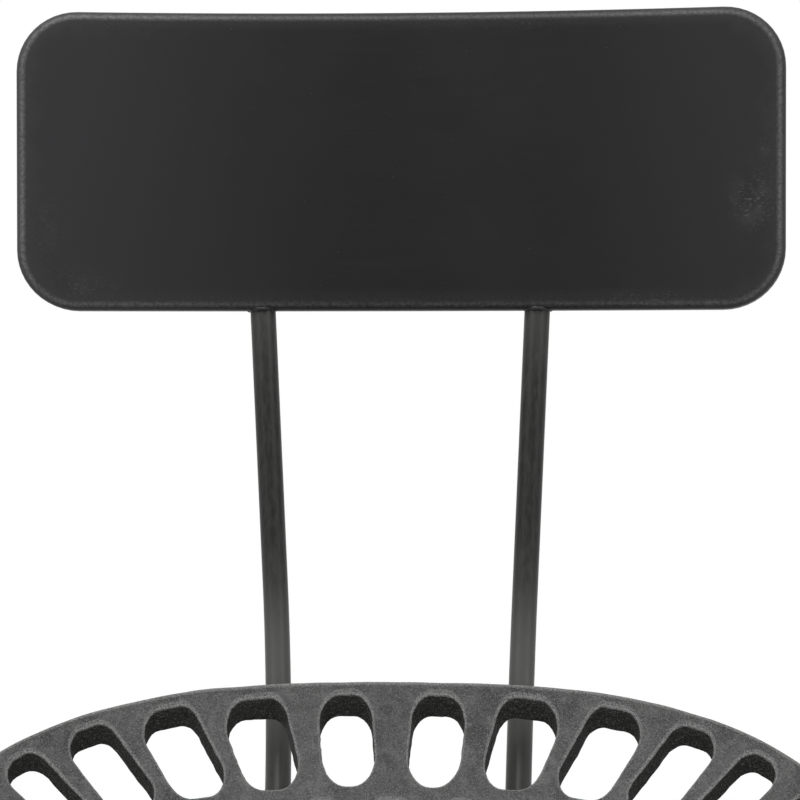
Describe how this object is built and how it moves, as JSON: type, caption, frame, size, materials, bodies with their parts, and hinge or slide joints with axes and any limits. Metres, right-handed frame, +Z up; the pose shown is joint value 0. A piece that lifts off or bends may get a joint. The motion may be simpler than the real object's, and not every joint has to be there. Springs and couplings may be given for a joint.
{
  "type": "tractor seat stool",
  "caption": "Height-adjustable stool with a pierced cast tractor seat, a curved steel backrest on bent rods, a screw spindle and a tube base with a footrest ring.",
  "frame": {"origin": "On the floor, under the middle of the stool's overall length and width, with the seat at its lowest", "axes": "+Z up, front of the seat towards -Y, +X to the right of somebody who looks at it from the front"},
  "size_m": [0.444, 0.4985, 1.059],
  "materials": {
    "seat_casting": "sand-cast, black, worn lighter on the edges",
    "panel_paint": "satin black with fine brushing and light scuffs",
    "rod_paint": "satin black",
    "frame_paint": "satin black",
    "hub_casting": "black painted casting",
    "spindle_steel": "turned steel, oiled",
    "fastener_steel": "blackened steel",
    "foot_rubber": "matt black rubber"
  },
  "bodies": {
    "base": {"hub": "hub_casting", "leg_1": "frame_paint", "leg_2": "frame_paint", "leg_3": "frame_paint", "leg_4": "frame_paint", "leg_bolts": "fastener_steel", "leg_washers": "fastener_steel", "footrest_ring": "frame_paint", "footrest_screws": "fastener_steel", "foot_cap_1": "foot_rubber", "foot_cap_2": "foot_rubber", "foot_cap_3": "foot_rubber", "foot_cap_4": "foot_rubber"},
    "lift": {"stop_washer": "fastener_steel"},
    "seat_unit": {"seat": "seat_casting", "seat_bolts": "fastener_steel", "seat_washers": "fastener_steel", "seat_nuts": "fastener_steel", "back_bracket": "frame_paint", "back_rod_left": "rod_paint", "back_rod_right": "rod_paint", "backrest_panel": "panel_paint", "spindle_flange": "frame_paint", "spindle": "spindle_steel", "stop_bolt": "fastener_steel"}
  },
  "joints": [
    {"name": "seat_lift", "type": "slide", "parent": "base", "child": "lift", "axis": [0, 0, 1], "range_m": [0, 0.12]},
    {"name": "seat_turn", "type": "hinge", "parent": "lift", "child": "seat_unit", "pos_m": [0, -0.0739, 0.5], "axis": [0, 0, 1], "range_deg": [0, 5400]}
  ],
  "couplings": [
    {"joint": "seat_lift", "follows": "seat_turn", "m_per_rad": 0.0012732}
  ]
}
